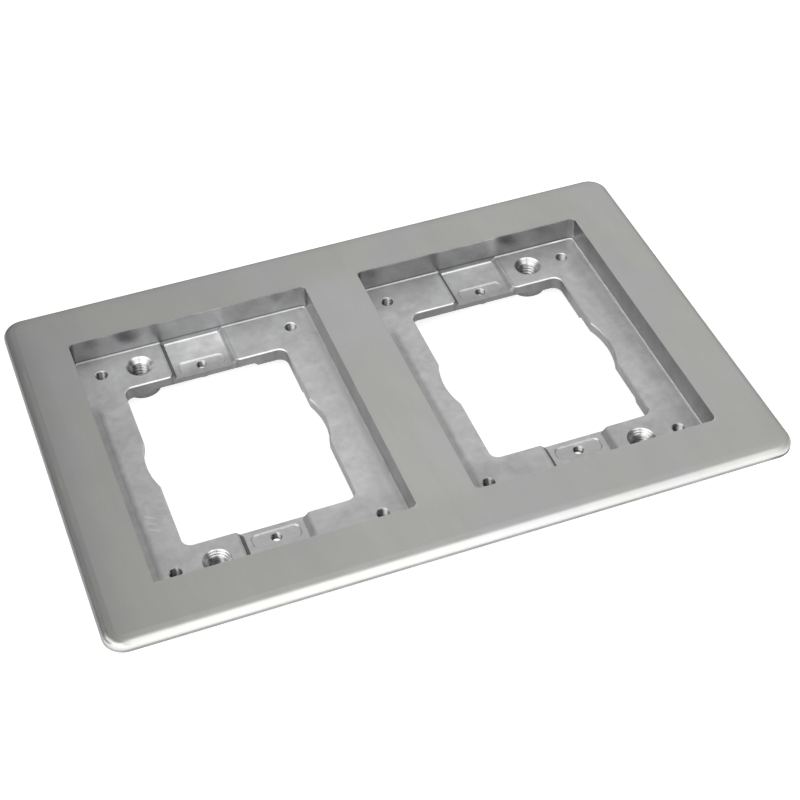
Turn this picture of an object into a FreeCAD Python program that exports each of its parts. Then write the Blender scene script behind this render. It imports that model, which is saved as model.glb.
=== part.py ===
"""Two-gang floor box cover plate, one aluminium casting. All lengths are in millimetres.

X runs along the plate, Y across it and Z up. The origin is at the bottom centre of the
bounding box, on the feet of the four levelling bosses, so the finished top face is the
highest plane. Each gang is a sunk pocket whose floor is a ledge around a through opening.
"""
import FreeCAD, Part

import math
import os

# Flange: the flat top with its rounded rim
END_BORDER = 19.45          # pocket wall to the plate's short edge, along X
SIDE_BORDER = 19.6          # pocket wall to the plate's long edge, along Y
CENTRE_WEB = 19.5           # land between the two pockets
PLATE_CORNER_RADIUS = 7.0
FLANGE_THICKNESS = 3.4
CROWN_RADIUS = 10.7         # easy fall of the top towards its rim
CROWN_ANGLE = 13.0          # degrees, slope at which the rounding takes over from the crown
RIM_RADIUS = 2.18           # rounding of the top outer edge, down to an upright band
FLANGE_ROOT_BEVEL = 1.0     # inside corner between flange and pocket walls, underneath

# Opening through each ledge, wider in the middle of its long sides
DEVICE_HOLE_SPACING = 83.34
DEVICE_HOLE_EDGE = 4.67     # device hole to the opening's end
OPENING_LENGTH = 56.9       # along X
OPENING_CORNER_RADIUS = 3.0
OPENING_DRAFT = 3.0         # degrees, widening downwards
SCALLOP_CHORD = 20.0
SCALLOP_DEPTH = 1.9
LEDGE_EDGE_BREAK = 0.4

# Pocket and the ledge that is its floor
SIDE_RAIL_WIDTH = 13.55     # ledge between opening and pocket wall, along X
END_RAIL_WIDTH = 18.0       # ledge between opening and pocket wall, along Y
POCKET_DEPTH = 9.1
POCKET_CORNER_RADIUS = 2.0
POCKET_FOOT_RADIUS = 0.8
POCKET_WALL = 3.0
LEDGE_THICKNESS = 3.9

# Saddle: the lower middle part of each end rail
SADDLE_TOP_WIDTH = 22.4
SADDLE_FLOOR_WIDTH = 19.4
SADDLE_DEPTH = 1.75
SADDLE_CORNER_RADIUS = 1.5  # between its sloping sides and the opening

# Device pad: a shallow recess with sloping sides around each device screw hole
DEVICE_PAD_LENGTH = 16.2
DEVICE_PAD_WIDTH = 5.8
DEVICE_PAD_DEPTH = 0.5
DEVICE_PAD_CORNER_RADIUS = 2.0
DEVICE_HOLE_DIAMETER = 3.5
DEVICE_BOSS_DIAMETER = 6.8

# Cover screw holes, one in each corner of a ledge
COVER_HOLE_INSET_X = 8.25   # from the pocket wall
COVER_HOLE_INSET_Y = 8.7
COVER_HOLE_DIAMETER = 4.17
COVER_BOSS_DIAMETER = 8.4
HOLE_EDGE_BREAK = 0.15

# Levelling screw holes, beside the saddles on the plate's outer side
LEVEL_HOLE_INSET_X = 21.6   # from the outer pocket wall
LEVEL_HOLE_INSET_Y = 8.85
LEVEL_HOLE_DIAMETER = 6.35
LEVEL_MOUTH_DIAMETER = 9.5
LEVEL_MOUTH_ANGLE = 90.0    # degrees, full angle of the countersink
LEVEL_BOSS_DIAMETER = 13.2
LEVEL_BOSS_HEIGHT = 9.4     # boss foot up to the ledge
LEVEL_BOSS_FOOT_BEVEL = 0.4

# Corner pads: thicker parts of the ledge, underneath
CORNER_PAD_DROP = 1.3       # below the ledge's underside
CORNER_PAD_BEVEL = 1.0
CORNER_PAD_REACH_X = 10.7   # from the opening's side towards the saddle
CORNER_PAD_REACH_Y = 19.0   # from the opening's end towards the scallop
OUTER_PAD_REACH_Y = 11.5    # the same on the outer far corner

# Tied sizes
OPENING_WIDTH = DEVICE_HOLE_SPACING - 2 * DEVICE_HOLE_EDGE
POCKET_LENGTH = OPENING_LENGTH + 2 * SIDE_RAIL_WIDTH
POCKET_WIDTH = OPENING_WIDTH + 2 * END_RAIL_WIDTH
GANG_PITCH = POCKET_LENGTH + CENTRE_WEB
PLATE_LENGTH = 2 * POCKET_LENGTH + CENTRE_WEB + 2 * END_BORDER
PLATE_WIDTH = POCKET_WIDTH + 2 * SIDE_BORDER
CROWN_TURN = math.radians(CROWN_ANGLE)
CROWN_REACH = CROWN_RADIUS * math.sin(CROWN_TURN)
CROWN_DROP = CROWN_RADIUS * (1 - math.cos(CROWN_TURN))
RIM_REACH = CROWN_REACH + RIM_RADIUS * (1 - math.sin(CROWN_TURN))
RIM_DROP = CROWN_DROP + RIM_RADIUS * math.cos(CROWN_TURN)

# Levels
LEDGE_Z = LEVEL_BOSS_HEIGHT
TOP_Z = LEDGE_Z + POCKET_DEPTH
FLANGE_Z = TOP_Z - FLANGE_THICKNESS
SADDLE_Z = LEDGE_Z - SADDLE_DEPTH
DEVICE_PAD_Z = SADDLE_Z - DEVICE_PAD_DEPTH
UNDERSIDE_Z = LEDGE_Z - LEDGE_THICKNESS
PAD_FOOT_Z = UNDERSIDE_Z - CORNER_PAD_DROP
OVERCUT = 1.0               # how far a cutter runs past the face that it opens

ENDS = (-1, 1)


def vector(x, y, z):
    return FreeCAD.Vector(x, y, z)


def rounded_slab(length, width, radius, bottom, top):
    """Upright prism on a rounded rectangle centred on the Z axis."""
    slab = Part.makeBox(length, width, top - bottom, vector(-length / 2, -width / 2, bottom))
    corners = [edge for edge in slab.Edges if abs(edge.tangentAt(edge.FirstParameter).z) > 0.5]
    return slab.makeFillet(radius, corners)


def edges_at(shape, level):
    """Edges that lie wholly in the horizontal plane at this level."""
    box_of = [(edge, edge.BoundBox) for edge in shape.Edges]
    return [edge for edge, box in box_of if abs(box.ZMin - level) < 1e-6 and abs(box.ZMax - level) < 1e-6]


def fuse_all(shapes):
    return shapes[0].multiFuse(shapes[1:])


def mirrored_in_y(shape):
    return shape.mirror(vector(0, 0, 0), vector(0, 1, 0))


def opening_outline(level, growth):
    """The opening's closed outline, with a shallow arc in each long side, grown all round."""
    half_x = OPENING_LENGTH / 2 + growth
    half_y = OPENING_WIDTH / 2 + growth
    radius = OPENING_CORNER_RADIUS + growth
    diagonal = radius * (1 - math.sqrt(0.5))
    half_chord = SCALLOP_CHORD / 2 + growth
    edges = []
    for side in ENDS:
        # One long side with its scallop, the corner after it and one short side
        def at(x, y, turn=side):
            return vector(turn * x, turn * y, level)

        edges.append(Part.LineSegment(at(half_x, radius - half_y), at(half_x, -half_chord)).toShape())
        scallop = Part.Arc(at(half_x, -half_chord), at(half_x + SCALLOP_DEPTH, 0), at(half_x, half_chord))
        edges.append(scallop.toShape())
        edges.append(Part.LineSegment(at(half_x, half_chord), at(half_x, half_y - radius)).toShape())
        knee = at(half_x - diagonal, half_y - diagonal)
        edges.append(Part.Arc(at(half_x, half_y - radius), knee, at(half_x - radius, half_y)).toShape())
        edges.append(Part.LineSegment(at(half_x - radius, half_y), at(radius - half_x, half_y)).toShape())
        knee = at(diagonal - half_x, half_y - diagonal)
        edges.append(Part.Arc(at(radius - half_x, half_y), knee, at(-half_x, half_y - radius)).toShape())
    return Part.Wire(edges)


def opening_cutter():
    """Tapered core of the through opening, with the broken edge at its top."""
    slope = math.tan(math.radians(OPENING_DRAFT))
    high = LEDGE_Z + OVERCUT
    low = PAD_FOOT_Z - OVERCUT
    taper = [
        opening_outline(high, -OVERCUT * slope),
        opening_outline(low, (LEDGE_Z - low) * slope),
    ]
    bevel = [
        opening_outline(high, OVERCUT + LEDGE_EDGE_BREAK),
        opening_outline(LEDGE_Z - LEDGE_EDGE_BREAK, 0),
    ]
    return Part.makeLoft(taper, True, True).fuse(Part.makeLoft(bevel, True, True))


def saddle_cutter():
    """Lower middle of the far end rail, with sloping sides and a rounded foot at the wall."""
    half_top = SADDLE_TOP_WIDTH / 2
    half_floor = SADDLE_FLOOR_WIDTH / 2
    start = OPENING_WIDTH / 2 - OVERCUT
    end = POCKET_WIDTH / 2
    rise = POCKET_FOOT_RADIUS + OVERCUT
    flare = rise * (half_top - half_floor) / SADDLE_DEPTH
    section = Part.makePolygon([
        vector(-half_floor, start, SADDLE_Z),
        vector(half_floor, start, SADDLE_Z),
        vector(half_top + flare, start, LEDGE_Z + rise),
        vector(-half_top - flare, start, LEDGE_Z + rise),
        vector(-half_floor, start, SADDLE_Z),
    ])
    saddle = Part.Face(section).extrude(vector(0, end - start, 0))
    foot = []
    for edge in saddle.Edges:
        box = edge.BoundBox
        if box.YMin > end - OVERCUT / 2 and box.ZMin < LEDGE_Z:
            foot.append(edge)
    return saddle.makeFillet(POCKET_FOOT_RADIUS, foot)


def pocket_cutter():
    """The pocket down to the ledge and both saddles, with a rounded foot along its walls."""
    room = rounded_slab(POCKET_LENGTH, POCKET_WIDTH, POCKET_CORNER_RADIUS, LEDGE_Z, TOP_Z + OVERCUT)
    room = room.makeFillet(POCKET_FOOT_RADIUS, edges_at(room, LEDGE_Z))
    saddle = saddle_cutter()
    return fuse_all([room, saddle, mirrored_in_y(saddle)])


def device_pad_cutter(x, y):
    """Shallow recess whose sides slope at 45 degrees, its named size at the saddle floor."""
    pad = rounded_slab(DEVICE_PAD_LENGTH + 2 * OVERCUT, DEVICE_PAD_WIDTH + 2 * OVERCUT,
                       DEVICE_PAD_CORNER_RADIUS + OVERCUT, DEVICE_PAD_Z, SADDLE_Z + 2 * OVERCUT)
    pad = pad.makeChamfer(DEVICE_PAD_DEPTH + OVERCUT, edges_at(pad, DEVICE_PAD_Z))
    pad.translate(vector(x, y, 0))
    return pad


def bored_hole(x, y, diameter, bottom, mouth):
    """Through hole with a small broken edge at its mouth."""
    radius = diameter / 2
    height = HOLE_EDGE_BREAK + OVERCUT
    bore = Part.makeCylinder(radius, mouth - bottom + 2 * OVERCUT, vector(x, y, bottom - OVERCUT))
    edge = Part.makeCone(radius, radius + height, height, vector(x, y, mouth - HOLE_EDGE_BREAK))
    return bore.fuse(edge)


def level_hole(x, y):
    """Through hole of a levelling screw, with its conical mouth."""
    half_angle = math.radians(LEVEL_MOUTH_ANGLE / 2)
    bore_radius = LEVEL_HOLE_DIAMETER / 2
    mouth_radius = LEVEL_MOUTH_DIAMETER / 2
    depth = (mouth_radius - bore_radius) / math.tan(half_angle)
    top_radius = mouth_radius + OVERCUT * math.tan(half_angle)
    bore = Part.makeCylinder(bore_radius, LEDGE_Z + 2 * OVERCUT, vector(x, y, -OVERCUT))
    mouth = Part.makeCone(bore_radius, top_radius, depth + OVERCUT, vector(x, y, LEDGE_Z - depth))
    return bore.fuse(mouth)


def corner_pad(side_x, side_y, reach_y):
    """Thicker corner of the ledge's underside, bevelled all round its foot."""
    outer_x = POCKET_LENGTH / 2
    outer_y = POCKET_WIDTH / 2
    inner_x = OPENING_LENGTH / 2 - CORNER_PAD_REACH_X
    inner_y = OPENING_WIDTH / 2 - reach_y
    low_x = inner_x if side_x > 0 else -outer_x
    low_y = inner_y if side_y > 0 else -outer_y
    pad = Part.makeBox(outer_x - inner_x, outer_y - inner_y, CORNER_PAD_DROP + LEDGE_THICKNESS / 2,
                       vector(low_x, low_y, PAD_FOOT_Z))
    return pad.makeChamfer(CORNER_PAD_BEVEL, edges_at(pad, PAD_FOOT_Z))


def gang_solids():
    """What one gang adds under the flange, with its outer side towards -X."""
    wall_length = POCKET_LENGTH + 2 * POCKET_WALL
    wall_width = POCKET_WIDTH + 2 * POCKET_WALL
    wall_radius = POCKET_CORNER_RADIUS + POCKET_WALL
    inside_flange = FLANGE_Z + FLANGE_THICKNESS / 2
    solids = [rounded_slab(wall_length, wall_width, wall_radius, UNDERSIDE_Z, inside_flange)]
    solids.append(corner_pad(1, 1, CORNER_PAD_REACH_Y))
    solids.append(corner_pad(-1, -1, CORNER_PAD_REACH_Y))
    solids.append(corner_pad(-1, 1, OUTER_PAD_REACH_Y))
    for x, y in cover_hole_places():
        solids.append(Part.makeCylinder(COVER_BOSS_DIAMETER / 2, LEDGE_Z - LEDGE_THICKNESS / 2 - PAD_FOOT_Z,
                                        vector(x, y, PAD_FOOT_Z)))
    for x, y in device_hole_places():
        solids.append(Part.makeCylinder(DEVICE_BOSS_DIAMETER / 2, DEVICE_PAD_Z - PAD_FOOT_Z,
                                        vector(x, y, PAD_FOOT_Z)))
    for x, y in level_hole_places():
        boss = Part.makeCylinder(LEVEL_BOSS_DIAMETER / 2, LEDGE_Z - LEDGE_THICKNESS / 2, vector(x, y, 0))
        solids.append(boss.makeChamfer(LEVEL_BOSS_FOOT_BEVEL, edges_at(boss, 0)))
    return solids


def cover_hole_places():
    x = POCKET_LENGTH / 2 - COVER_HOLE_INSET_X
    y = POCKET_WIDTH / 2 - COVER_HOLE_INSET_Y
    return [(side_x * x, side_y * y) for side_x in ENDS for side_y in ENDS]


def device_hole_places():
    return [(0, side * DEVICE_HOLE_SPACING / 2) for side in ENDS]


def level_hole_places():
    x = LEVEL_HOLE_INSET_X - POCKET_LENGTH / 2
    y = POCKET_WIDTH / 2 - LEVEL_HOLE_INSET_Y
    return [(x, side * y) for side in ENDS]


def gang_cutters():
    """What one gang cuts once its pocket is open, with its outer side towards -X."""
    cutters = [opening_cutter()]
    for x, y in device_hole_places():
        cutters.append(device_pad_cutter(x, y))
        cutters.append(bored_hole(x, y, DEVICE_HOLE_DIAMETER, PAD_FOOT_Z, DEVICE_PAD_Z))
    for x, y in cover_hole_places():
        cutters.append(bored_hole(x, y, COVER_HOLE_DIAMETER, PAD_FOOT_Z, LEDGE_Z))
    for x, y in level_hole_places():
        cutters.append(level_hole(x, y))
    return cutters


def in_both_gangs(shapes):
    """The left gang's shapes, and the same turned half round for the right gang."""
    placed = []
    for shape in shapes:
        left = shape.copy()
        left.translate(vector(-GANG_PITCH / 2, 0, 0))
        right = left.copy()
        right.rotate(vector(0, 0, 0), vector(0, 0, 1), 180)
        placed += [left, right]
    return placed


def flange_section(outer):
    """Upright section of the flange along +X, from the Z axis out to its rim at x = outer."""
    def on_crown(slope):
        fall = CROWN_RADIUS * (1 - math.cos(slope))
        return vector(outer - RIM_REACH + CROWN_RADIUS * math.sin(slope), 0, TOP_Z - fall)

    def on_rounding(slope):
        rise = RIM_RADIUS * math.cos(slope)
        return vector(outer - RIM_RADIUS * (1 - math.sin(slope)), 0, TOP_Z - RIM_DROP + rise)

    upright = math.pi / 2
    middle = (CROWN_TURN + upright) / 2
    crown = Part.Arc(on_crown(0), on_crown(CROWN_TURN / 2), on_crown(CROWN_TURN))
    rounding = Part.Arc(on_rounding(CROWN_TURN), on_rounding(middle), on_rounding(upright))
    straight = Part.makePolygon([
        on_rounding(upright),
        vector(outer, 0, FLANGE_Z),
        vector(0, 0, FLANGE_Z),
        vector(0, 0, TOP_Z),
        on_crown(0),
    ])
    return Part.Face(Part.Wire([crown.toShape(), rounding.toShape()] + straight.Edges))


def make_flange():
    """Flat top with its crowned rim: two bars that cross, and a quarter turn in each corner."""
    corner_x = PLATE_LENGTH / 2 - PLATE_CORNER_RADIUS
    corner_y = PLATE_WIDTH / 2 - PLATE_CORNER_RADIUS
    axis = vector(0, 0, 1)
    end_side = flange_section(PLATE_LENGTH / 2).extrude(vector(0, 2 * corner_y, 0))
    end_side.translate(vector(0, -corner_y, 0))
    long_side = flange_section(PLATE_WIDTH / 2).extrude(vector(0, 2 * corner_x, 0))
    long_side.translate(vector(0, -corner_x, 0))
    corner = flange_section(PLATE_CORNER_RADIUS).revolve(vector(0, 0, 0), axis, 90)
    pieces = []
    for quarter, (side_x, side_y) in enumerate([(1, 1), (-1, 1), (-1, -1), (1, -1)]):
        side = end_side.copy() if quarter % 2 == 0 else long_side.copy()
        turned = corner.copy()
        for piece in (side, turned):
            piece.rotate(vector(0, 0, 0), axis, 90 * quarter)
        turned.translate(vector(side_x * corner_x, side_y * corner_y, 0))
        pieces += [side, turned]
    return fuse_all(pieces).removeSplitter()


def bevel_flange_root(plate):
    """Strengthen the inside corner where the pocket walls leave the flange."""
    half_x = PLATE_LENGTH / 2
    half_y = PLATE_WIDTH / 2
    root = []
    for edge in edges_at(plate, FLANGE_Z):
        box = edge.BoundBox
        on_rim = max(abs(box.XMin), abs(box.XMax)) > half_x - PLATE_CORNER_RADIUS
        on_rim = on_rim or max(abs(box.YMin), abs(box.YMax)) > half_y - PLATE_CORNER_RADIUS
        if not on_rim:
            root.append(edge)
    return plate.makeChamfer(FLANGE_ROOT_BEVEL, root)


def round_saddle_corners(plate):
    """Round the short edges between the saddles' sloping sides and the drafted opening."""
    wall_y = OPENING_WIDTH / 2
    drift = SADDLE_DEPTH * math.tan(math.radians(OPENING_DRAFT))
    corners = []
    for edge in plate.Edges:
        box = edge.BoundBox
        on_slope = abs(box.ZMin - SADDLE_Z) < 1e-6 and box.ZMin + LEDGE_EDGE_BREAK < box.ZMax < LEDGE_Z + 1e-6
        at_wall = all(-1e-6 < abs(y) - wall_y < drift + 1e-6 for y in (box.YMin, box.YMax))
        if on_slope and at_wall:
            corners.append(edge)
    return plate.makeFillet(SADDLE_CORNER_RADIUS, corners)


def make_cover_plate():
    body = fuse_all([make_flange()] + in_both_gangs(gang_solids())).removeSplitter()
    body = bevel_flange_root(body)
    body = body.cut(fuse_all(in_both_gangs([pocket_cutter()])))
    body = body.cut(fuse_all(in_both_gangs(gang_cutters()))).removeSplitter()
    return round_saddle_corners(body)


def main():
    plate = make_cover_plate()
    solid = plate.Solids[0]
    os.makedirs("parts", exist_ok=True)
    solid.exportStep("parts/cover_plate.step")
    box = solid.optimalBoundingBox(True, False)
    print("cover_plate solids %d valid %s" % (len(plate.Solids), plate.isValid()))
    print("size %.2f x %.2f x %.2f, volume %.0f" % (box.XLength, box.YLength, box.ZLength, solid.Volume))
    print("bottom at z %.3f, faces %d" % (box.ZMin, len(solid.Faces)))


main()
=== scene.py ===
"""Two-gang floor box cover plate: its metal finishes, cut threads, studio and camera.

Lengths are metres in the part's own frame: X along the plate, Y across it, Z up out of the
finished top face, with the origin under the middle of the plate on the plane of its feet.
"""
import logging
import math
from dataclasses import dataclass, field
from enum import Enum

import bpy
import numpy as np
from mathutils import Matrix


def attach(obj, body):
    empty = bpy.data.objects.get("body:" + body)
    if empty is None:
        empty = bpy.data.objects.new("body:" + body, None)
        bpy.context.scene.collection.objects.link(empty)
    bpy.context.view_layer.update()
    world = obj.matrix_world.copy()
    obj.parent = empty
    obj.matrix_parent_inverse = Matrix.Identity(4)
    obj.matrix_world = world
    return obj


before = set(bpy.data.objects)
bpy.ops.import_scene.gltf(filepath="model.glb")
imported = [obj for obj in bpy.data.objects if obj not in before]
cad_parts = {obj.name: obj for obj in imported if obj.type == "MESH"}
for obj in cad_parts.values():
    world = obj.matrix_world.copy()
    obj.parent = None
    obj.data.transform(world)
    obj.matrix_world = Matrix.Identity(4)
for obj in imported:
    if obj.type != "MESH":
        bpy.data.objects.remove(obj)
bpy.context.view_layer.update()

LOG = logging.getLogger("cover_plate")
MM = 0.001

Colour = tuple[float, float, float, float]
Range = tuple[float, float]


def grey(level: float) -> Colour:
    """A neutral colour."""
    return (level, level, level, 1.0)


@dataclass(frozen=True)
class PlateSizes:
    """Where the plate's faces lie, in millimetres, for the masks of its finishes."""

    top: float = 18.5
    rim_drop: float = 2.4
    flange: float = 3.4
    gang_x: float = 51.75
    pocket_half_x: float = 42.0
    pocket_half_y: float = 55.0
    ledge: float = 9.4
    device_pad: float = 7.15
    pad_foot: float = 4.2
    level_x: float = 72.15
    level_y: float = 46.15
    cover_x: float = 33.75
    cover_y: float = 46.3
    device_y: float = 41.67
    level_cone_foot: float = 7.825
    hole_break: float = 0.15


SIZES = PlateSizes()


class Thread(Enum):
    """Screw threads cut in the plate: outside and inside diameter and pitch, in millimetres."""

    LEVELLING = ("levelling_threads", 6.35, 5.35, 1.27)
    COVER_SCREW = ("cover_screw_threads", 4.17, 3.52, 0.794)
    DEVICE_SCREW = ("device_screw_threads", 3.50, 2.86, 0.794)

    def __init__(self, piece: str, major: float, minor: float, pitch: float) -> None:
        """Keep the thread's own sizes under plain names."""
        self.piece = piece
        self.major = major
        self.minor = minor
        self.pitch = pitch


class Sketch:
    """A short way to write a node tree: each call adds one node and gives back its output."""

    def __init__(self, tree: bpy.types.NodeTree) -> None:
        """Start drawing in a tree.

        Args:
            tree: the material's, world's or group's node tree.
        """
        self.tree = tree

    def node(self, kind: str, **settings: object) -> bpy.types.Node:
        """Add a node.

        Args:
            kind: Blender's name of the node type.
            settings: attributes to set on it.

        Returns:
            The new node.
        """
        made = self.tree.nodes.new(kind)
        for name, value in settings.items():
            setattr(made, name, value)
        return made

    def feed(self, socket: bpy.types.NodeSocket, value: object) -> None:
        """Link a socket to an output, or write a plain value into it.

        Args:
            socket: the input to fill.
            value: an output socket, a number or a tuple.
        """
        if isinstance(value, bpy.types.NodeSocket):
            self.tree.links.new(value, socket)
        else:
            socket.default_value = value

    def math(self, operation: str, *terms: object, clamp: bool = False) -> bpy.types.NodeSocket:
        """Combine numbers.

        Args:
            operation: the Math node's operation.
            terms: its inputs in order.
            clamp: keep the result between 0 and 1.

        Returns:
            The result's socket.
        """
        made = self.node("ShaderNodeMath", operation=operation, use_clamp=clamp)
        for place, term in enumerate(terms):
            self.feed(made.inputs[place], term)
        return made.outputs[0]

    def product(self, *terms: object) -> bpy.types.NodeSocket:
        """Multiply any count of numbers.

        Args:
            terms: the numbers or sockets.

        Returns:
            Their product.
        """
        result = terms[0]
        for term in terms[1:]:
            result = self.math("MULTIPLY", result, term)
        return result

    def vector_math(self, operation: str, *terms: object) -> bpy.types.NodeSocket:
        """Combine vectors, with the same inputs as math().

        Args:
            operation: the Vector Math node's operation.
            terms: its inputs in order.

        Returns:
            The vector's socket, or the number's where the operation gives a number.
        """
        made = self.node("ShaderNodeVectorMath", operation=operation)
        for place, term in enumerate(terms):
            self.feed(made.inputs[place], term)
        gives_number = operation in ("LENGTH", "DISTANCE", "DOT_PRODUCT")
        return made.outputs["Value" if gives_number else "Vector"]

    def vector(self, x: object, y: object, z: object) -> bpy.types.NodeSocket:
        """A vector from three numbers or sockets."""
        made = self.node("ShaderNodeCombineXYZ")
        for place, term in enumerate((x, y, z)):
            self.feed(made.inputs[place], term)
        return made.outputs[0]

    def parts(self, vector: bpy.types.NodeSocket) -> list[bpy.types.NodeSocket]:
        """A vector's three numbers."""
        made = self.node("ShaderNodeSeparateXYZ")
        self.feed(made.inputs[0], vector)
        return list(made.outputs)

    def step(self, value: object, start: float, end: float) -> bpy.types.NodeSocket:
        """A smooth step.

        Args:
            value: what is tested.
            start: where the result is 0.
            end: where the result is 1, on either side of start.

        Returns:
            A number from 0 to 1.
        """
        made = self.node("ShaderNodeMapRange", interpolation_type="SMOOTHSTEP")
        low, high, flipped = (start, end, False) if start < end else (end, start, True)
        self.feed(made.inputs["Value"], value)
        self.feed(made.inputs["From Min"], low)
        self.feed(made.inputs["From Max"], high)
        self.feed(made.inputs["To Min"], 1.0 if flipped else 0.0)
        self.feed(made.inputs["To Max"], 0.0 if flipped else 1.0)
        return made.outputs["Result"]

    def span(self, value: object, low: object, high: object) -> bpy.types.NodeSocket:
        """Stretch a number from 0..1 to low..high.

        Args:
            value: the number, kept between 0 and 1.
            low: the result at 0.
            high: the result at 1.

        Returns:
            The stretched number.
        """
        made = self.node("ShaderNodeMapRange")
        self.feed(made.inputs["Value"], value)
        self.feed(made.inputs["To Min"], low)
        self.feed(made.inputs["To Max"], high)
        return made.outputs["Result"]

    def mix(self, share: object, first: object, second: object) -> bpy.types.NodeSocket:
        """Mix two numbers.

        Args:
            share: how much of the second, 0 to 1.
            first: number at 0.
            second: number at 1.

        Returns:
            The mixed number.
        """
        made = self.node("ShaderNodeMix", data_type="FLOAT")
        self.feed(made.inputs[0], share)
        self.feed(made.inputs[2], first)
        self.feed(made.inputs[3], second)
        return made.outputs[0]

    def tint(self, share: object, first: object, second: object) -> bpy.types.NodeSocket:
        """Mix two colours, with the same inputs as mix()."""
        made = self.node("ShaderNodeMix", data_type="RGBA")
        self.feed(made.inputs[0], share)
        self.feed(made.inputs[6], first)
        self.feed(made.inputs[7], second)
        return made.outputs[2]

    def shade(self, colour: object, factor: object) -> bpy.types.NodeSocket:
        """A colour times a number.

        Args:
            colour: the colour.
            factor: what each channel is multiplied with.

        Returns:
            The lighter or darker colour.
        """
        made = self.node("ShaderNodeVectorMath", operation="SCALE")
        self.feed(made.inputs[0], colour if isinstance(colour, bpy.types.NodeSocket) else colour[:3])
        self.feed(made.inputs["Scale"], factor)
        return made.outputs["Vector"]

    def noise(self, where: object, scale: float, detail: float = 2.0,
              roughness: float = 0.5, distortion: float = 0.0) -> bpy.types.NodeSocket:
        """Noise from 0 to 1 round 0.5.

        Args:
            where: coordinates in millimetres.
            scale: features per millimetre.
            detail: octaves.
            roughness: weight of the finer octaves.
            distortion: how far the pattern is swirled.

        Returns:
            The noise value.
        """
        made = self.node("ShaderNodeTexNoise")
        self.feed(made.inputs["Vector"], where)
        made.inputs["Scale"].default_value = scale
        made.inputs["Detail"].default_value = detail
        made.inputs["Roughness"].default_value = roughness
        made.inputs["Distortion"].default_value = distortion
        return made.outputs[0]

    def millimetres(self) -> bpy.types.NodeSocket:
        """The piece's Object coordinates in millimetres."""
        where = self.node("ShaderNodeTexCoord").outputs["Object"]
        return self.vector_math("MULTIPLY", where, (1.0 / MM,) * 3)

    def group(self, tree: bpy.types.NodeTree, **values: object) -> bpy.types.Node:
        """Place a node group.

        Args:
            tree: the group's tree.
            values: its inputs by name, with _ for a space.

        Returns:
            The group node.
        """
        made = self.node("ShaderNodeGroup")
        made.node_tree = tree
        for name, value in values.items():
            self.feed(made.inputs[name.replace("_", " ")], value)
        return made


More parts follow.
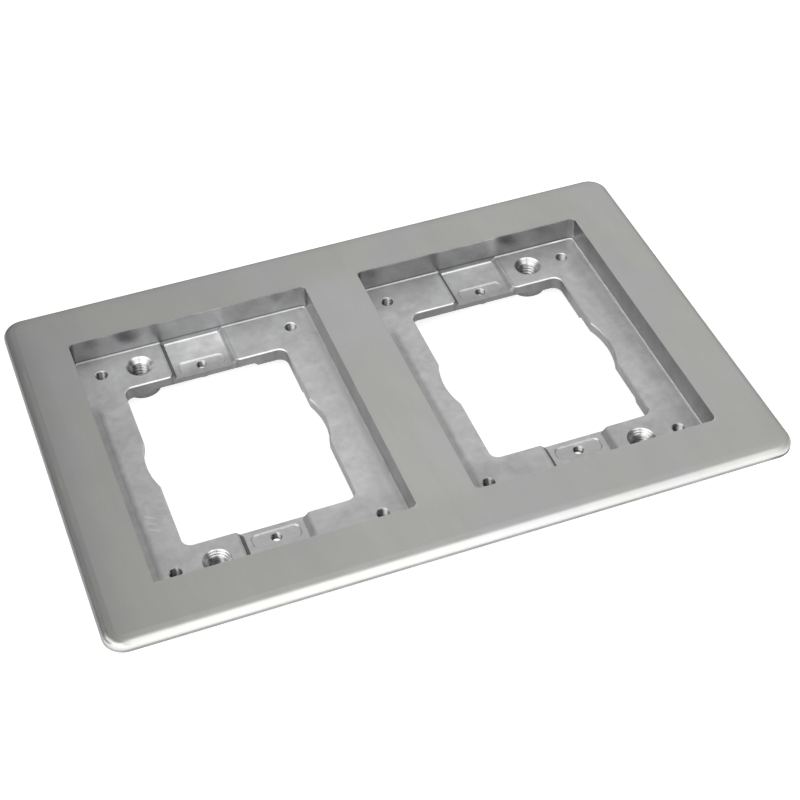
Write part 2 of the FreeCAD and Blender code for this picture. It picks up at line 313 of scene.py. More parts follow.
class SharedEffects:
    """Node groups for the relief and the tones of worked metal."""

    def __init__(self) -> None:
        """Build each group once."""
        self.brushed = self._brushed()
        self.cast_skin = self._cast_skin()
        self.turned = self._turned()

    @staticmethod
    def _new(name: str, inputs: dict[str, str], outputs: dict[str, str]) -> Sketch:
        """An empty group with its sockets.

        Args:
            name: the group's name.
            inputs: socket names and kinds going in.
            outputs: socket names and kinds coming out.

        Returns:
            A sketch of the group's tree.
        """
        tree = bpy.data.node_groups.new(name, "ShaderNodeTree")
        for label, kind in inputs.items():
            tree.interface.new_socket(label, in_out="INPUT", socket_type=kind)
        for label, kind in outputs.items():
            tree.interface.new_socket(label, in_out="OUTPUT", socket_type=kind)
        return Sketch(tree)

    def _brushed(self) -> bpy.types.NodeTree:
        """Fine scratches of a belt run along one axis: noise squeezed hard across the run.

        Returns:
            A group that turns millimetre coordinates into a height and a tone, both 0 to 1.
        """
        draw = self._new("brushed_lines",
                         {"Where": "NodeSocketVector", "Lean": "NodeSocketFloat"},
                         {"Height": "NodeSocketFloat", "Tone": "NodeSocketFloat"})
        given = draw.node("NodeGroupInput")
        x, y, z = draw.parts(given.outputs["Where"])
        across = draw.math("ADD", x, draw.product(y, given.outputs["Lean"]))
        lines = []
        for lines_per_mm, breaks_per_mm, level, detail, roughness in (
                (5.0, 0.05, z, 3.0, 0.6), (1.3, 0.03, 7.0, 2.0, 0.6), (0.16, 0.012, 3.0, 2.0, 0.5)):
            squeezed = draw.vector(draw.product(across, lines_per_mm), draw.product(y, breaks_per_mm), level)
            lines.append(draw.noise(squeezed, 1.0, detail, roughness))
        fine, medium, broad = lines
        smudge = draw.noise(draw.vector(across, draw.product(y, 0.6), 11.0), scale=0.055, distortion=0.4)
        out = draw.node("NodeGroupOutput")
        draw.feed(out.inputs["Height"], draw.mix(0.35, fine, medium))
        draw.feed(out.inputs["Tone"], draw.mix(0.55, draw.mix(0.5, medium, broad), smudge))
        return draw.tree

    def _cast_skin(self) -> bpy.types.NodeTree:
        """Skin of a die casting: soft flow patches, a fine grain and scattered shallow pits.

        Returns:
            A group that turns millimetre coordinates into a height, a tone and pits, 0 to 1.
        """
        draw = self._new("cast_skin", {"Where": "NodeSocketVector"},
                         {"Height": "NodeSocketFloat", "Tone": "NodeSocketFloat",
                          "Pits": "NodeSocketFloat"})
        where = draw.node("NodeGroupInput").outputs["Where"]
        grain = draw.noise(where, scale=2.6, detail=3.0, roughness=0.62)
        flow = draw.noise(where, scale=0.11, detail=3.0, roughness=0.55, distortion=0.8)
        patch = draw.noise(where, scale=0.35, distortion=0.3)
        cells = draw.node("ShaderNodeTexVoronoi")
        draw.feed(cells.inputs["Vector"], where)
        cells.inputs["Scale"].default_value = 0.55
        pit_edge, kept_cells, pit_depth = (0.13, 0.04), (0.62, 0.70), 0.8
        pits = draw.product(draw.step(cells.outputs["Distance"], *pit_edge),
                            draw.step(draw.parts(cells.outputs["Color"])[0], *kept_cells))
        out = draw.node("NodeGroupOutput")
        draw.feed(out.inputs["Height"], draw.math("SUBTRACT", grain, draw.product(pits, pit_depth)))
        draw.feed(out.inputs["Tone"], draw.mix(0.4, flow, patch))
        draw.feed(out.inputs["Pits"], pits)
        return draw.tree

    def _turned(self) -> bpy.types.NodeTree:
        """Rings of a turning cutter round an upright axis.

        Returns:
            A group that turns a radius in millimetres into a ring height, 0 to 1.
        """
        draw = self._new("turned_rings", {"Radius": "NodeSocketFloat", "Feed": "NodeSocketFloat"},
                         {"Height": "NodeSocketFloat"})
        given = draw.node("NodeGroupInput")
        turns = draw.math("DIVIDE", given.outputs["Radius"], given.outputs["Feed"])
        wave = draw.math("SINE", draw.product(turns, 2.0 * math.pi))
        out = draw.node("NodeGroupOutput")
        draw.feed(out.inputs["Height"], draw.math("MULTIPLY_ADD", wave, 0.5, 0.5))
        return draw.tree


TOP = SIZES.top
LEDGE = SIZES.ledge
FLANGE = SIZES.top - SIZES.flange
RIM_END = SIZES.top - SIZES.rim_drop

# Each mask is the product of its terms. A term is an earlier mask, or one of the coordinates
# with the value at which the mask is 0 and the value at which it is 1.
MASKS: dict[str, tuple] = {
    # Regions
    "inside": (("out_of_pocket", 0.06, 0.02),),
    "outside": (("out_of_pocket", 0.02, 0.06),),
    "by_wall": ("inside", ("out_of_pocket", -0.9, -0.5)),
    "on_floor": ("inside", ("out_of_pocket", -0.5, -0.9), ("lift", -0.35, -0.15)),
    "on_flange": ("outside", ("z", FLANGE - 0.02, FLANGE + 0.04)),
    "upright": (("slant", 0.75, 0.45),),
    "near_side": (("y", 5.0, -5.0),),
    "faces_left": (("turn_x", -0.3, -0.8),),

    # The top and its rim
    "top": ("outside", ("z", RIM_END - 0.06, RIM_END + 0.06)),
    "rim": ("on_flange", ("z", TOP - 0.01, TOP - 0.20)),
    "steep_rim": ("on_flange", ("z", TOP - 2.1, TOP - 2.5)),
    "band": ("steep_rim", ("diagonal", -42.0, -32.0)),
    "left_rim": ("on_flange", ("turn_x", -0.45, -0.75), ("y", -70.0, -64.0)),
    "left_fade": ("on_flange", ("x", -99.0, -111.0)),
    "web": ("on_flange", ("fold_x", 13.0, 8.0), ("fold_y", 62.0, 50.0)),
    "near_right": ("on_flange", ("x", -20.0, 30.0), ("y", -30.0, -66.0)),
    "rim_right": ("on_flange", ("x", 0.0, 80.0), ("turn_y", -0.20, -0.45)),
    "corner": ("rim", ("diagonal", 175.0, 181.0)),
    "corner_side": ("corner", ("turn_x", 0.30, 0.60)),
    "corner_band": ("steep_rim", ("diagonal", 175.0, 181.0)),

    # The pockets' walls
    "wall": ("by_wall", "upright"),
    "end_wall": (("faces_along_y", 0.35, 0.75),),
    "wall_corner": ("wall", ("faces_both", 0.08, 0.30)),
    "wall_end": ("by_wall", ("from_left", 22.0, 0.5)),
    "wall_middle": ("wall", ("turn_y", -0.5, -0.8), ("from_middle", 13.0, 9.5)),
    "wall_lip": ("wall", ("turn_y", -0.5, -0.8), ("z", TOP - 0.7, TOP - 0.2)),
    "foot": ("by_wall", ("z", LEDGE + 0.9, LEDGE + 0.6)),
    "wall_foot": ("foot", ("turn_y", -0.3, -0.6), ("z", LEDGE + 0.05, LEDGE + 0.22)),
    "right_foot": ("foot", ("lift", 0.45, 0.75), ("local_x", 30.0, 35.0)),

    # The ledge with its saddles and its darker left strip
    "pocket": ("inside", ("lift", -0.2, 0.0)),
    "far_rail": ("on_floor", ("y", 36.0, 46.0)),
    "near_rail": ("on_floor", ("y", -34.0, -42.0)),
    "right_rail": ("on_floor", ("local_x", 36.8, 41.0)),
    "mid_rail": ("on_floor", ("fold_x", 62.0, 24.0), ("fold_y", 42.0, 34.0)),
    "far_saddle": ("on_floor", ("y", 38.0, 50.0), ("z", LEDGE - 1.2, LEDGE - 1.6)),
    "slope": ("on_floor", ("turn_x", 0.30, 0.55), ("lift", 0.15, 0.30),
              ("from_middle", 8.6, 9.2), ("from_middle", 18.0, 15.0)),
    "slope_edge": ("on_floor", ("from_middle", 10.9, 11.3), ("from_middle", 12.3, 11.4),
                   ("fold_y", 35.8, 36.8)),
    "strip_length": ("on_floor", ("y", 35.0, 27.0)),
    "left_strip": ("strip_length", ("strip_edge", -0.6, 0.9), ("strip_edge", 4.6, 2.5)),
    "strip_line": ("strip_length", ("strip_edge", 2.0, 2.3), ("strip_edge", 3.0, 2.6)),
    "scratches": ("on_floor", ("along_scratch", 1.9, 1.2), ("across_scratch", 0.75, 0.15),
                  ("from_scratches", 3.84, 2.88)),

    # The opening's walls and its broken upper edge at the left
    "under_ledge": ("on_floor", ("z", LEDGE - 0.30, LEDGE - 0.45)),
    "opening": ("under_ledge", "upright"),
    "opening_far": ("under_ledge", ("y", 24.0, 32.0)),
    "worn_edge": ("on_floor", ("z", LEDGE - 0.50, LEDGE - 0.40), ("turn_x", 0.35, 0.55),
                  ("from_middle", 20.0, 23.0)),

    # The levelling holes' countersinks
    "mouth": (("level_radius", 4.85, 4.75), ("z", LEDGE - 2.4, LEDGE - 2.3)),
    # painted shade: the countersinks' flank that faces +X is darker
    "mouth_painted_shade": ("mouth", ("turn_x", 0.25, 0.50)),
}

# How much lighter or darker each mask makes the left gang and the right gang; most of these are painted
# light or painted shade, marked below
TONES = (
    ("left_strip", 0.72, 0.74),
    ("strip_line", 0.90, 0.95),
    # painted light: the far rail and the far saddle are lighter
    ("far_rail", 1.12, 0.97),
    ("far_saddle", 1.36, 1.32),
    ("mid_rail", 1.14, 1.03),
    ("near_rail", 0.96, 0.86),
    # painted light on the right rails, and a painted highlight along the right wall's foot
    ("right_rail", 1.36, 1.40),
    ("right_foot", 1.10, 1.50),
    # painted shade: the slopes' upper edges, the walls' left ends and corners, and the right gang's walls
    # are darker
    ("slope_edge", 0.80, 0.84),
    ("wall_end", 0.66, 0.80),
    ("wall_corner", 0.76, 0.80),
    ("wall", 0.99, 0.84),
    # painted highlight along the far walls' top edge
    ("wall_lip", 1.30, 1.60),
    # painted shade along the far walls' foot and on the opening's far part
    ("wall_foot", 0.52, 0.52),
    ("opening_far", 0.74, 0.74),
    # painted shade towards the top's left edge and on its near right, painted light over the web, and a
    # painted highlight on the right rim
    ("left_fade", 0.87, 1.0),
    ("web", 1.06, 1.06),
    ("near_right", 1.0, 0.95),
    ("rim_right", 1.0, 1.02),
    # painted shade round the rim's near right corner
    ("corner_band", 1.0, 0.55),
    ("corner_side", 1.0, 0.68),
    # painted shade on the countersinks' flank that faces +X
    ("mouth_painted_shade", 0.55, 0.55),
    # painted light: the far walls are lighter in their middle, a painted reflection
    ("wall_middle", 1.60, 1.75),
    ("scratches", 1.16, 1.0),
)


@dataclass(frozen=True)
class CastAluminium:
    """The plate's one material: brushed top, rolled rim, drafted walls and satin cast skin, with painted
    light and painted shade in its colours and tones.
    """

    slot: str = "cast_aluminium"

    top_colour: Colour = (0.62, 0.6250, 0.596, 1.0)
    top_cool_colour: Colour = (0.62, 0.6180, 0.618, 1.0)
    # painted shade: the rim's low upright band and its left side are darker than the top
    band_colour: Colour = grey(0.41)
    left_rim_colour: Colour = grey(0.50)
    # painted shade: the walls facing along Y are darker than the side walls
    side_wall_colour: Colour = grey(0.46)
    end_wall_colour: Colour = (0.25, 0.25, 0.255, 1.0)
    # painted shade on the saddles' slopes and on the opening's faces
    slope_colour: Colour = grey(0.19)
    opening_colour: Colour = grey(0.48)
    opening_side_colour: Colour = grey(0.50)
    ledge_colour: Colour = (0.71, 0.713, 0.711, 1.0)
    mouth_colour: Colour = grey(0.72)
    under_colour: Colour = grey(0.55)
    hue_scale: float = 0.035
    hue_patches: Range = (0.45, 0.62)

    cast_tones: Range = (0.66, 1.34)
    brushed_tones: Range = (0.87, 1.13)
    pit_tone: float = 0.8
    cloud_scale: float = 0.075
    cloud_tones: Range = (0.80, 1.18)

    top_roughness: float = 0.34
    wall_roughness: float = 0.31
    ledge_roughness: float = 0.46
    mouth_roughness: float = 0.33
    under_roughness: float = 0.55
    more_in_saddle: float = 0.38
    more_at_corner: float = 0.13
    more_at_rim: float = 0.06
    cast_drift: float = 0.08
    brushed_drift: float = 0.07
    worn_metallic: float = 0.45

    brush_lean: float = 0.06
    skin_height: float = 0.035
    brush_height: float = 0.004
    wave_scale: float = 0.09
    wave_height: float = 0.16
    ring_feeds: Range = (0.32, 0.60)
    ring_heights: Range = (0.003, 0.026)

    strip_scale: float = 0.25
    strip_wobble: float = 1.2
    strip_shift: float = 1.6
    scratch_place: tuple[float, float, float] = (-86.9, -24.5, 9.4)
    scratch_turn: float = 0.53
    scratch_gap: float = 2.4

    def build(self, effects: SharedEffects) -> bpy.types.Material:
        """Draw the material.

        Args:
            effects: the shared node groups.

        Returns:
            The finished material.
        """
        material = bpy.data.materials.new(self.slot + "_finish")
        material.use_nodes = True
        material.node_tree.nodes.clear()
        draw = Sketch(material.node_tree)
        drawing = AluminiumDrawing(self, draw, effects)
        bump = draw.node("ShaderNodeBump")
        bump.inputs["Strength"].default_value = 1.0
        bump.inputs["Distance"].default_value = MM
        draw.feed(bump.inputs["Height"], drawing.height())
        metal = draw.node("ShaderNodeBsdfPrincipled")
        draw.feed(metal.inputs["Metallic"], draw.mix(drawing.masks["worn_edge"], 1.0, self.worn_metallic))
        draw.feed(metal.inputs["Base Color"], draw.shade(drawing.colour(), drawing.tone()))
        draw.feed(metal.inputs["Roughness"], drawing.roughness())
        draw.feed(metal.inputs["Normal"], bump.outputs["Normal"])
        draw.feed(draw.node("ShaderNodeOutputMaterial").inputs["Surface"], metal.outputs["BSDF"])
        return material


class AluminiumDrawing:
    """The plate's material while it is drawn: its coordinates and masks by name, then each input."""

    def __init__(self, finish: CastAluminium, draw: Sketch, effects: SharedEffects) -> None:
        """Draw the masks and place the shared effects.

        Args:
            finish: the finish's colours and sizes.
            draw: the material's sketch.
            effects: the shared node groups.
        """
        self.finish = finish
        self.draw = draw
        self.where = draw.millimetres()
        self.masks = self._coordinates()
        self.masks.update(self._strip_coordinates())
        self.masks.update(self._scratch_coordinates())
        for mask, terms in MASKS.items():
            self.masks[mask] = draw.product(*(
                self.masks[term] if isinstance(term, str) else draw.step(self.masks[term[0]], *term[1:])
                for term in terms))
        feed = draw.span(self.masks["near_side"], *finish.ring_feeds)
        self.brushed = draw.group(effects.brushed, Where=self.where, Lean=finish.brush_lean)
        self.skin = draw.group(effects.cast_skin, Where=self.where)
        self.rings = draw.group(effects.turned, Radius=self.masks["level_radius"], Feed=feed)

    def colour(self) -> bpy.types.NodeSocket:
        """The metal's colour, with painted shade on the slopes, the opening's faces, the end walls, the
        rim's low band and its left side.

        Returns:
            The colour before its tones.
        """
        finish, draw, masks = self.finish, self.draw, self.masks
        opening = draw.tint(masks["faces_left"], finish.opening_colour, finish.opening_side_colour)
        wall = draw.tint(masks["end_wall"], finish.side_wall_colour, finish.end_wall_colour)
        hue = draw.step(draw.noise(self.where, finish.hue_scale), *finish.hue_patches)
        top = draw.tint(hue, finish.top_colour, finish.top_cool_colour)
        colour = draw.tint(masks["pocket"], finish.under_colour, finish.ledge_colour)
        for mask, shown in (("slope", finish.slope_colour), ("opening", opening), ("wall", wall),
                            ("top", top), ("band", finish.band_colour),
                            ("left_rim", finish.left_rim_colour), ("mouth", finish.mouth_colour)):
            colour = draw.tint(masks[mask], colour, shown)
        return colour

    def tone(self) -> bpy.types.NodeSocket:
        """How light the colour is at each place.

        Returns:
            The factor on the colour.
        """
        finish, draw, masks = self.finish, self.draw, self.masks
        smooth = masks["top"]
        tone = draw.mix(smooth, draw.span(self.skin.outputs["Tone"], *finish.cast_tones),
                        draw.span(self.brushed.outputs["Tone"], *finish.brushed_tones))
        pitted = draw.mix(self.skin.outputs["Pits"], 1.0, draw.mix(smooth, finish.pit_tone, 1.0))
        cloud = draw.span(draw.noise(self.where, finish.cloud_scale, distortion=0.5), *finish.cloud_tones)
        tone = draw.product(tone, pitted, draw.mix(masks["wall"], 1.0, cloud))
        # most TONES factors paint light and shade onto the metal
        for mask, in_left_gang, in_right_gang in TONES:
            factor = draw.mix(masks["right_gang"], in_left_gang, in_right_gang)
            tone = draw.product(tone, draw.mix(masks[mask], 1.0, factor))
        return tone

    def roughness(self) -> bpy.types.NodeSocket:
        """How far the metal spreads what it mirrors.

        Returns:
            The roughness, with a slow drift over the cast skin and the brushed top.
        """
        finish, draw, masks = self.finish, self.draw, self.masks
        rough = draw.mix(masks["pocket"], finish.under_roughness, finish.ledge_roughness)
        rough = draw.math("ADD", rough, draw.product(masks["far_saddle"], finish.more_in_saddle))
        rough = draw.mix(masks["wall"], rough, finish.wall_roughness)
        rough = draw.mix(masks["top"], rough, finish.top_roughness)
        rough = draw.math("ADD", rough, draw.product(masks["corner"], finish.more_at_corner))
        rough = draw.math("ADD", rough, draw.product(masks["rim_right"], finish.more_at_rim))
        rough = draw.mix(masks["mouth"], rough, finish.mouth_roughness)
        cast, brushed = finish.cast_drift, finish.brushed_drift
        drift = draw.mix(masks["top"], draw.span(self.skin.outputs["Height"], -cast, cast),
                         draw.span(self.brushed.outputs["Height"], -brushed, brushed))
        return draw.math("ADD", rough, drift, clamp=True)

    def height(self) -> bpy.types.NodeSocket:
        """The fine relief for the bump: skin, brush lines, turned rings and the rim's long wave.

        Returns:
            The height in millimetres.
        """
        finish, draw, masks = self.finish, self.draw, self.masks
        height = draw.mix(masks["top"], draw.product(self.skin.outputs["Height"], finish.skin_height),
                          draw.product(self.brushed.outputs["Height"], finish.brush_height))
        rings = draw.product(self.rings.outputs["Height"],
                             draw.span(masks["near_side"], *finish.ring_heights))
        height = draw.mix(masks["mouth"], height, rings)
        wave = draw.product(draw.noise(self.where, finish.wave_scale, 2.0, 0.55), finish.wave_height)
        return draw.math("ADD", height, draw.product(masks["rim"], wave))

    def _coordinates(self) -> dict[str, bpy.types.NodeSocket]:
        """Where a point of the plate lies and which way its surface faces there.

        Returns:
            Places and distances in millimetres and facings as parts of the normal, by name.
        """
        draw = self.draw
        x, y, z = draw.parts(self.where)
        turn_x, turn_y, lift = draw.parts(draw.node("ShaderNodeTexCoord").outputs["Normal"])
        fold_x, fold_y = draw.math("ABSOLUTE", x), draw.math("ABSOLUTE", y)
        from_gang = draw.math("SUBTRACT", fold_x, SIZES.gang_x)
        out_x = draw.math("SUBTRACT", draw.math("ABSOLUTE", from_gang), SIZES.pocket_half_x)
        out_y = draw.math("SUBTRACT", fold_y, SIZES.pocket_half_y)
        local_x = draw.math("SUBTRACT", x, draw.product(draw.math("SIGN", x), SIZES.gang_x))
        faces_along_y = draw.math("ABSOLUTE", turn_y)
        to_level = draw.vector(draw.math("SUBTRACT", fold_x, SIZES.level_x),
                               draw.math("SUBTRACT", fold_y, SIZES.level_y), 0.0)
        return {
            "x": x, "y": y, "z": z, "turn_x": turn_x, "turn_y": turn_y, "lift": lift,
            "fold_x": fold_x, "fold_y": fold_y, "local_x": local_x, "faces_along_y": faces_along_y,
            "diagonal": draw.math("SUBTRACT", x, y),
            "out_of_pocket": draw.math("MAXIMUM", out_x, out_y),
            "from_middle": draw.math("ABSOLUTE", local_x),
            "from_left": draw.math("ADD", local_x, SIZES.pocket_half_x),
            "right_gang": draw.step(x, -1.0, 1.0),
            "slant": draw.math("ABSOLUTE", lift),
            "faces_both": draw.product(draw.math("ABSOLUTE", turn_x), faces_along_y),
            "level_radius": draw.vector_math("LENGTH", to_level),
        }

    def _strip_coordinates(self) -> dict[str, bpy.types.NodeSocket]:
        """The distance into a gang's darker left strip.

        Returns:
            The distance in millimetres from the strip's wavy edge, by name.
        """
        draw, finish = self.draw, self.finish
        wobble = draw.product(draw.noise(self.where, finish.strip_scale), -finish.strip_wobble)
        edge = draw.math("ADD", self.masks["from_left"], wobble)
        shift = draw.product(self.masks["right_gang"], finish.strip_shift)
        return {"strip_edge": draw.math("SUBTRACT", edge, shift)}

    def _scratch_coordinates(self) -> dict[str, bpy.types.NodeSocket]:
        """Distances for three short slanting strokes on the left gang's left rail.

        Returns:
            The distances along X from their middle, across the nearest one and across all.
        """
        draw, finish = self.draw, self.finish
        turned = draw.node("ShaderNodeVectorRotate", rotation_type="Z_AXIS")
        draw.feed(turned.inputs["Vector"], draw.vector_math("SUBTRACT", self.where, finish.scratch_place))
        turned.inputs["Angle"].default_value = finish.scratch_turn
        over = draw.parts(turned.outputs["Vector"])[1]
        along = draw.math("SUBTRACT", self.masks["x"], finish.scratch_place[0])
        return {
            "along_scratch": draw.math("ABSOLUTE", along),
            "across_scratch": draw.math("PINGPONG", over, finish.scratch_gap / 2),
            "from_scratches": draw.math("ABSOLUTE", over),
        }


@dataclass(frozen=True)
class CutThread:
    """Bright metal of a tapped hole, with painted shade on the side that the room lights less."""

    name: str = "cut_thread"
    colour: Colour = grey(0.50)
    tones: Range = (0.75, 1.20)
    roughness: Range = (0.22, 0.42)
    skin_height: float = 0.012
    # painted shade: the bore is darker on the side that faces this way
    shaded_side: tuple[float, float, float] = (0.5, -0.866, 0.0)
    shade_edge: Range = (0.40, 0.95)
    shade_tone: float = 0.42

    def build(self, effects: SharedEffects) -> bpy.types.Material:
        """Draw the material.

        Args:
            effects: the shared node groups.

        Returns:
            The finished material.
        """
        material = bpy.data.materials.new(self.name)
        material.use_nodes = True
        material.node_tree.nodes.clear()
        draw = Sketch(material.node_tree)
        where = draw.millimetres()
        skin = draw.group(effects.cast_skin, Where=where)
        normal = draw.node("ShaderNodeTexCoord").outputs["Normal"]
        facing = draw.vector_math("MULTIPLY", normal, (1.0, 1.0, 0.0))
        towards_shade = draw.vector_math("DOT_PRODUCT", draw.vector_math("NORMALIZE", facing), self.shaded_side)
        tone = draw.product(draw.span(skin.outputs["Tone"], *self.tones),
                            draw.mix(draw.step(towards_shade, *self.shade_edge), 1.0, self.shade_tone))
        bump = draw.node("ShaderNodeBump")
        bump.inputs["Strength"].default_value = 1.0
        bump.inputs["Distance"].default_value = MM
        draw.feed(bump.inputs["Height"], draw.product(skin.outputs["Height"], self.skin_height))
        metal = draw.node("ShaderNodeBsdfPrincipled")
        metal.inputs["Metallic"].default_value = 1.0
        draw.feed(metal.inputs["Base Color"], draw.shade(self.colour, tone))
        draw.feed(metal.inputs["Roughness"], draw.span(skin.outputs["Tone"], *self.roughness))
        draw.feed(metal.inputs["Normal"], bump.outputs["Normal"])
        draw.feed(draw.node("ShaderNodeOutputMaterial").inputs["Surface"], metal.outputs["BSDF"])
        return material


@dataclass
class ThreadedHoles:
    """The ridges of one kind of thread in all its holes, made as one piece.

    Shares are parts of the pitch, and lengths of the helix are counted in turns.
    """

    thread: Thread
    places: list[tuple[float, float]]
    bottom: float
    mouth: float
    steps_per_turn: int = 40
    runout: float = 0.3
    short_of_mouth: float = 0.02
    least_ramp: float = 0.02
    half_root_share: float = 0.47
    half_crest_share: float = 0.05
    first_share: float = 0.49
    root_overlap: float = 0.015
    sharp_angle: float = 35.0

    def profile(self) -> tuple[np.ndarray, np.ndarray]:
        """The ridge's closed section: a blunt wedge with its root in the bore's wall.

        Returns:
            How far each corner stands in from the bore's wall, and its height along the
            axis, both in millimetres.
        """
        pitch = self.thread.pitch
        depth = (self.thread.major - self.thread.minor) / 2
        inward = np.array([-self.root_overlap, depth, depth, -self.root_overlap])
        root, crest = self.half_root_share, self.half_crest_share
        along = np.array([-root, -crest, crest, root]) * pitch
        return inward, along

    def ridge(self, x: float, y: float) -> tuple[np.ndarray, np.ndarray]:
        """One hole's ridge, a section carried along a helix.

        The section's corner j at angle a lies at radius R - d_j * f(a) and height
        z0 + pitch * a / 2 pi + h_j * f(a), where f rises from 0 to 1 over the run-out at the
        bottom. Near the mouth each height is held under the countersink's cone, mouth - d_j,
        so the last turn is cut off by that cone and closes there.

        Args:
            x: the hole's centre.
            y: the hole's centre.

        Returns:
            The vertices in metres and the quads.
        """
        thread = self.thread
        inward, along = self.profile()
        turns = (self.mouth - self.bottom) / thread.pitch - self.short_of_mouth
        count = int(round(turns * self.steps_per_turn)) + 1
        turned = np.linspace(0.0, turns, count)[:, None]
        ramp = np.clip(turned / self.runout, self.least_ramp, 1.0)
        swell = ramp * ramp * (3.0 - 2.0 * ramp)
        angle = 2.0 * math.pi * turned
        radius = thread.major / 2 - inward[None, :] * np.where(inward[None, :] > 0, swell, 1.0)
        start = self.bottom + self.first_share * thread.pitch
        height = start + thread.pitch * turned + along[None, :] * swell
        height = np.minimum(height, self.mouth - np.maximum(inward, 0.0)[None, :])
        points = np.stack([x + radius * np.cos(angle), y + radius * np.sin(angle), height], axis=-1)
        corners = len(inward)
        row = np.arange(count - 1)[:, None] * corners
        col = np.arange(corners)[None, :]
        nxt = (col + 1) % corners
        quads = np.stack([row + col, row + nxt, row + corners + nxt, row + corners + col], axis=-1)
        ends = np.array([[3, 2, 1, 0], [0, 1, 2, 3]]) + np.array([[0], [(count - 1) * corners]])
        return points.reshape(-1, 3) * MM, np.concatenate([quads.reshape(-1, 4), ends])

    def build(self, material: bpy.types.Material) -> bpy.types.Object:
        """Make the piece and fasten it to the plate.

        Args:
            material: the finish of the cut metal.

        Returns:
            The new object.
        """
        points, faces, start = [], [], 0
        for x, y in self.places:
            some_points, some_faces = self.ridge(x, y)
            points.append(some_points)
            faces.append(some_faces + start)
            start += len(some_points)
        mesh = bpy.data.meshes.new(self.thread.piece)
        mesh.from_pydata(np.concatenate(points).tolist(), [], np.concatenate(faces).tolist())
        mesh.materials.append(material)
        mesh.shade_smooth()
        mesh.set_sharp_from_angle(angle=math.radians(self.sharp_angle))
        piece = bpy.data.objects.new(self.thread.piece, mesh)
        bpy.context.scene.collection.objects.link(piece)
        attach(piece, "root")
        LOG.info("%s: %d holes, %d faces", self.thread.piece, len(self.places), len(mesh.polygons))
        return piece


@dataclass
class CoverPlate:
    """The casting with its finish and the threads in its holes."""

    node: str = "cover_plate"
    finish: CastAluminium = field(default_factory=CastAluminium)
    thread_finish: CutThread = field(default_factory=CutThread)
    # the small holes' threads, with painted shade on their own side
    small_thread_finish: CutThread = field(default_factory=lambda: CutThread(
        name="small_cut_thread", colour=grey(0.44), shaded_side=(0.31, -0.951, 0.0), shade_edge=(0.72, 0.95),
        shade_tone=0.30))
    level_thread_rise: float = 0.15
    small_thread_rise: float = 0.1

    def dress(self, effects: SharedEffects) -> None:
        """Give the casting its material.

        Args:
            effects: the shared node groups.
        """
        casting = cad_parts[self.node]
        material = self.finish.build(effects)
        for slot in casting.material_slots:
            slot.material = material
        LOG.info("%s: %d triangles", self.node, len(casting.data.polygons))

    def threads(self) -> list[ThreadedHoles]:
        """The three kinds of tapped hole, by their places in the plate."""
        sides = (-1, 1)
        level = [(sx * SIZES.level_x, sy * SIZES.level_y) for sx in sides for sy in sides]
        device = [(sx * SIZES.gang_x, sy * SIZES.device_y) for sx in sides for sy in sides]
        cover = [(gang * SIZES.gang_x + sx * SIZES.cover_x, sy * SIZES.cover_y)
                 for gang in sides for sx in sides for sy in sides]
        small_bottom = SIZES.pad_foot + self.small_thread_rise
        return [
            ThreadedHoles(Thread.LEVELLING, level, self.level_thread_rise, SIZES.level_cone_foot),
            ThreadedHoles(Thread.COVER_SCREW, cover, small_bottom, SIZES.ledge - SIZES.hole_break),
            ThreadedHoles(Thread.DEVICE_SCREW, device, small_bottom, SIZES.device_pad - SIZES.hole_break),
        ]

    def build(self, effects: SharedEffects) -> None:
        """Dress the casting and cut its threads.

        Args:
            effects: the shared node groups.
        """
        self.dress(effects)
        bright = self.thread_finish.build(effects)
        small = self.small_thread_finish.build(effects)
        for holes in self.threads():
            holes.build(bright if holes.thread is Thread.LEVELLING else small)


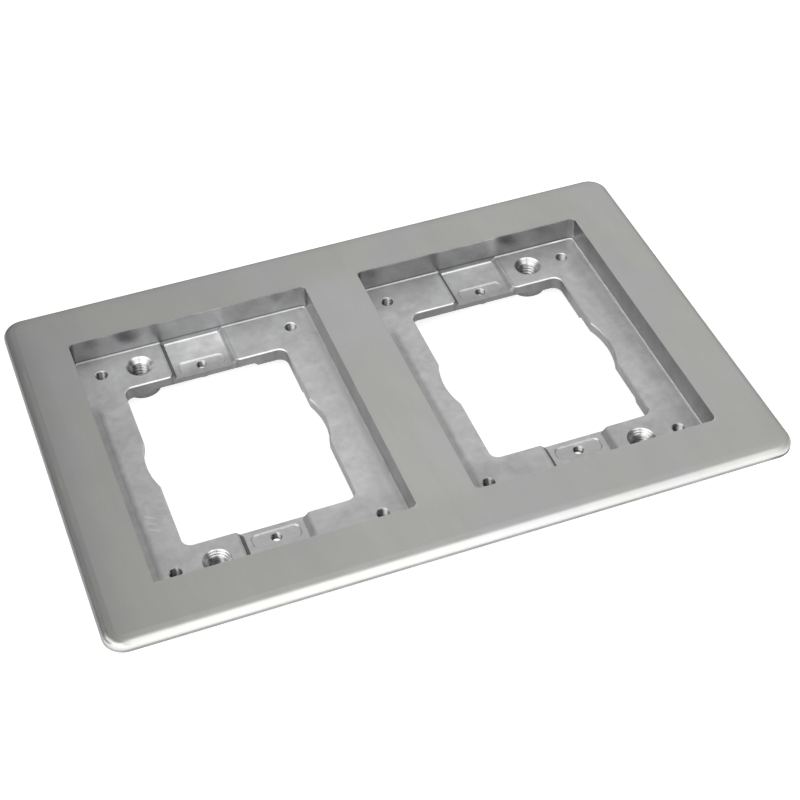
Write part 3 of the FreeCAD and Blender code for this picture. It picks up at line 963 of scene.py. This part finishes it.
@dataclass(frozen=True)
class Studio:
    """Pale floor in a soft room: a bright strip in front, one at the left, dimmer behind.

    Directions are parts of a unit vector that points away from the plate. A Range is where a
    mask is 0 and where it is 1, or a strip's two sides. Places on the floor are millimetres.
    """

    floor_half: float = 4.0
    floor_colour: Colour = grey(0.60)
    floor_glow: float = 0.75
    mirrored_glow: float = 0.10
    front_glow: float = 1.0
    front_edge: Range = (-86.0, -100.0)
    corner_way: tuple[float, float] = (0.6, -0.8)
    corner_edge: Range = (132.0, 144.0)

    left_light: float = 0.32
    right_light: float = 0.80
    side_blend: Range = (-0.10, 0.27)
    level_height: float = 0.70
    higher_gain: float = 0.3
    horizon: Range = (0.05, 0.45)
    horizon_tones: Range = (0.45, 1.0)
    dim_light: float = 0.16
    dark_light: float = 0.05
    dark_blend: Range = (0.55, 0.75)
    front_blend: Range = (0.25, 0.50)

    strip_light: float = 2.6
    far_strip_light: float = 2.05
    strip_blend: Range = (0.08, 0.42)
    strip_softness: float = 0.10
    right_strip_way: tuple[float, float, float] = (0.0, -0.8, 0.6)
    right_strip_blur: Range = (0.03, 0.64)
    right_strip_x: Range = (-0.02, 0.57)
    left_strip_x: Range = (-0.86, -0.24)
    left_strip_y: Range = (-0.72, 0.38)
    left_strip_top: Range = (0.90, 0.80)
    corner_x: Range = (-0.02, -0.10)
    corner_y: Range = (-0.16, -0.28)
    figure_place: tuple[float, float, float] = (-0.13, -0.68, 0.71)
    figure_stretch: tuple[float, float, float] = (1.8, 1.0, 1.0)
    figure_edge: Range = (0.17, 0.25)

    low_light: float = 1.15
    low_x: Range = (0.50, 0.62)
    low_y: Range = (0.42, 0.28)
    low_top: Range = (0.42, 0.30)
    low_lean: float = 0.6

    def build_floor(self) -> bpy.types.Object:
        """A pale floor that looks white and still takes the plate's shadow.

        Returns:
            The floor.
        """
        half = self.floor_half
        mesh = bpy.data.meshes.new("floor")
        mesh.from_pydata([(-half, -half, 0.0), (half, -half, 0.0), (half, half, 0.0), (-half, half, 0.0)],
                         [], [(0, 1, 2, 3)])
        material = bpy.data.materials.new("pale_floor")
        material.use_nodes = True
        material.node_tree.nodes.clear()
        draw = Sketch(material.node_tree)
        diffuse = draw.node("ShaderNodeBsdfDiffuse")
        diffuse.inputs["Color"].default_value = self.floor_colour
        glow = draw.node("ShaderNodeEmission")
        path = draw.node("ShaderNodeLightPath")
        mirrored = draw.math("MAXIMUM", path.outputs["Is Glossy Ray"], path.outputs["Is Transmission Ray"])
        x, y, _ = draw.parts(draw.millimetres())
        to_side, to_front = self.corner_way
        towards_corner = draw.math("ADD", draw.product(draw.math("ABSOLUTE", x), to_side),
                                   draw.product(y, to_front))
        in_front = draw.math("MAXIMUM", draw.step(y, *self.front_edge),
                             draw.step(towards_corner, *self.corner_edge))
        mirrored_glow = draw.span(in_front, self.mirrored_glow, self.front_glow)
        draw.feed(glow.inputs["Strength"],
                  draw.mix(path.outputs["Is Camera Ray"], draw.product(mirrored, mirrored_glow),
                           self.floor_glow))
        both = draw.node("ShaderNodeAddShader")
        draw.feed(both.inputs[0], diffuse.outputs[0])
        draw.feed(both.inputs[1], glow.outputs[0])
        draw.feed(draw.node("ShaderNodeOutputMaterial").inputs["Surface"], both.outputs[0])
        mesh.materials.append(material)
        floor = bpy.data.objects.new("floor", mesh)
        bpy.context.scene.collection.objects.link(floor)
        return floor

    def _between(self, draw: Sketch, value: object, sides: Range) -> bpy.types.NodeSocket:
        """A soft-edged band.

        Args:
            draw: the world's sketch.
            value: what is tested.
            sides: where the band begins and ends.

        Returns:
            1 inside the band, 0 outside it.
        """
        low, high = sides
        soft = self.strip_softness / 2
        return draw.product(draw.step(value, low - soft, low + soft),
                            draw.step(value, high + soft, high - soft))

    def _soft_light(self, draw: Sketch, towards: bpy.types.NodeSocket) -> bpy.types.NodeSocket:
        """The room without its strips: darker at the left, near the horizon and in front.

        Args:
            draw: the world's sketch.
            towards: the direction.

        Returns:
            The light from that direction.
        """
        x, y, z = draw.parts(towards)
        backdrop = draw.span(draw.step(x, *self.side_blend), self.left_light, self.right_light)
        above = draw.math("SUBTRACT", z, self.level_height)
        higher = draw.product(draw.math("MULTIPLY_ADD", above, self.higher_gain, 1.0),
                              draw.span(draw.step(z, *self.horizon), *self.horizon_tones))
        dim = draw.span(draw.step(x, *self.dark_blend), self.dim_light, self.dark_light)
        light = draw.mix(draw.step(y, *self.front_blend), dim, draw.product(backdrop, higher))
        rise = draw.math("MAXIMUM", draw.product(y, self.low_lean), 0.0)
        low_right = draw.product(draw.step(x, *self.low_x), draw.step(y, *self.low_y),
                                 draw.step(draw.math("SUBTRACT", z, rise), *self.low_top))
        return draw.mix(low_right, light, self.low_light)

    def _strips(self, draw: Sketch, towards: bpy.types.NodeSocket) -> bpy.types.NodeSocket:
        """The bright strips, with a corner light that a dark figure stands before.

        Args:
            draw: the world's sketch.
            towards: the direction.

        Returns:
            Their mask, 0 to 1.
        """
        x, y, z = draw.parts(towards)
        in_front = draw.step(draw.vector_math("DOT_PRODUCT", towards, self.right_strip_way),
                             *self.right_strip_blur)
        right_strip = draw.product(in_front, self._between(draw, x, self.right_strip_x))
        left_strip = draw.product(self._between(draw, y, self.left_strip_y),
                                  self._between(draw, x, self.left_strip_x),
                                  draw.step(z, *self.left_strip_top))
        from_figure = draw.vector_math("SUBTRACT", towards, self.figure_place)
        figure = draw.vector_math("LENGTH", draw.vector_math("MULTIPLY", from_figure, self.figure_stretch))
        corner = draw.product(draw.step(y, *self.corner_y), draw.step(x, *self.corner_x),
                              draw.step(figure, *self.figure_edge))
        return draw.math("MAXIMUM", draw.math("ADD", left_strip, right_strip), corner)

    def build_room(self) -> None:
        """The world: white to the camera, a soft grey room to the metal."""
        world = bpy.data.worlds.new("room")
        world.use_nodes = True
        world.node_tree.nodes.clear()
        draw = Sketch(world.node_tree)
        towards = draw.node("ShaderNodeTexCoord").outputs["Generated"]
        x = draw.parts(towards)[0]
        strip_light = draw.span(draw.step(x, *self.strip_blend), self.strip_light, self.far_strip_light)
        light = draw.mix(self._strips(draw, towards), self._soft_light(draw, towards), strip_light)
        path = draw.node("ShaderNodeLightPath")
        background = draw.node("ShaderNodeBackground")
        draw.feed(background.inputs["Strength"], draw.mix(path.outputs["Is Camera Ray"], light, 1.0))
        draw.feed(draw.node("ShaderNodeOutputWorld").inputs["Surface"], background.outputs[0])
        bpy.context.scene.world = world

    def build(self) -> None:
        """Set up floor and room."""
        self.build_floor()
        self.build_room()
        bpy.context.scene.view_settings.view_transform = "Standard"


@dataclass(frozen=True)
class PhotoCamera:
    """The camera's place and lens, from the plate's own edges in the picture."""

    place: tuple[float, float, float] = (-0.14136, -0.39358, 0.42812)
    right: tuple[float, float, float] = (0.93483, -0.35503, -0.00633)
    up: tuple[float, float, float] = (0.25526, 0.65953, 0.70701)
    back: tuple[float, float, float] = (-0.24683, -0.66255, 0.70718)
    lens: float = 79.73
    sensor_width: float = 36.0
    clip_start: float = 0.01
    clip_end: float = 50.0

    def build(self) -> bpy.types.Object:
        """Make the camera and look through it.

        Returns:
            The camera.
        """
        data = bpy.data.cameras.new("camera")
        data.sensor_width = self.sensor_width
        data.lens = self.lens
        data.clip_start = self.clip_start
        data.clip_end = self.clip_end
        camera = bpy.data.objects.new("camera", data)
        turn = np.eye(4)
        turn[:3, 0], turn[:3, 1], turn[:3, 2], turn[:3, 3] = self.right, self.up, self.back, self.place
        camera.matrix_world = Matrix(turn.tolist())
        bpy.context.scene.collection.objects.link(camera)
        bpy.context.scene.camera = camera
        return camera


def main() -> None:
    """Build the plate, the studio and the camera in order."""
    logging.basicConfig(level=logging.INFO, format="%(name)s %(message)s")
    effects = SharedEffects()
    CoverPlate().build(effects)
    Studio().build()
    PhotoCamera().build()


if __name__ == "__main__":
    main()
